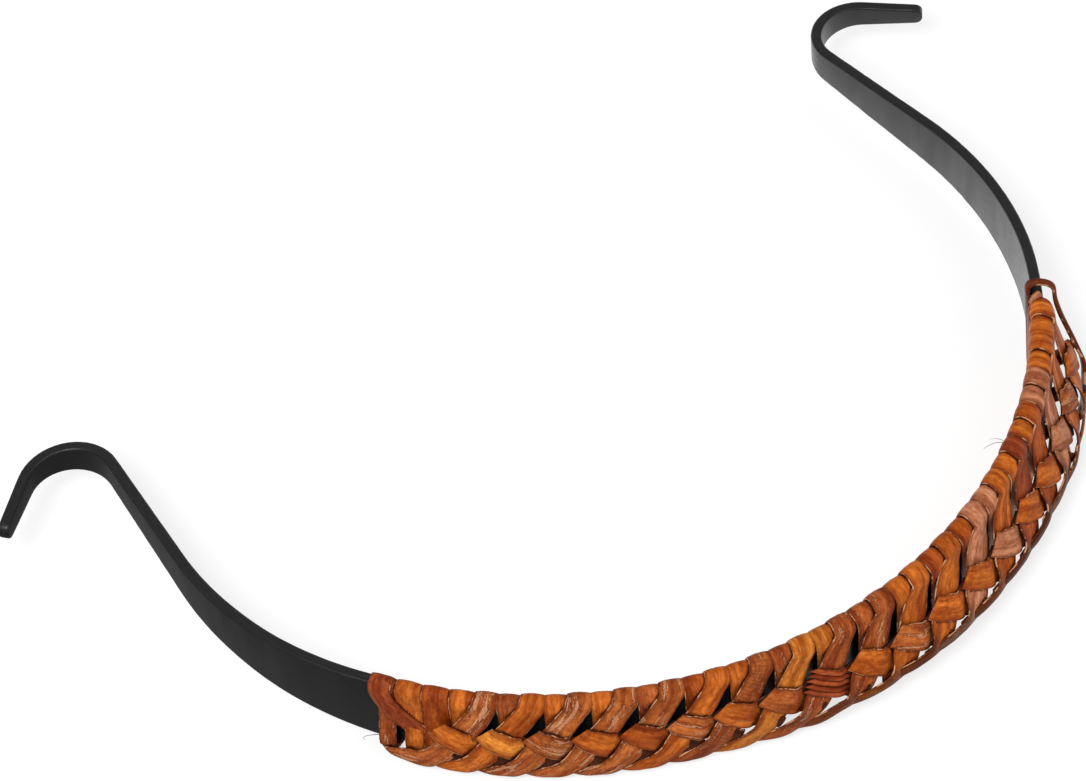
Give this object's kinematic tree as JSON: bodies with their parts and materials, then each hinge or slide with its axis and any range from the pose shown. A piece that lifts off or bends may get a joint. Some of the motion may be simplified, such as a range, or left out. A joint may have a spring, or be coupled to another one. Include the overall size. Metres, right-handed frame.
{
  "type": "headband",
  "caption": "Hair hoop with outward-hooked ends, its front bound and braided with flat rattan strand.",
  "frame": {"origin": "middle of the footprint, on the plane that the lowest strips of the braid rest on", "axes": "+X across the head towards the loose end of the braid, +Y from the front towards the open end, +Z across the band, away from the braid's rim"},
  "size_m": [0.178, 0.1118, 0.0154],
  "materials": {
    "hoop_plastic": "moulded, semi-gloss black",
    "rattan": "flat rattan strand, stained orange-brown, satin",
    "rattan_core": "flat rattan strand, darker in the turns, satin"
  },
  "bodies": {
    "root": {"hoop": "hoop_plastic", "start_turns": "rattan", "start_strap": "rattan", "plain_turns": "rattan", "over_strokes": "rattan", "leads": "rattan_core", "hitches": "rattan", "splice_hitch": "rattan", "end_loop": "rattan"}
  },
  "joints": []
}
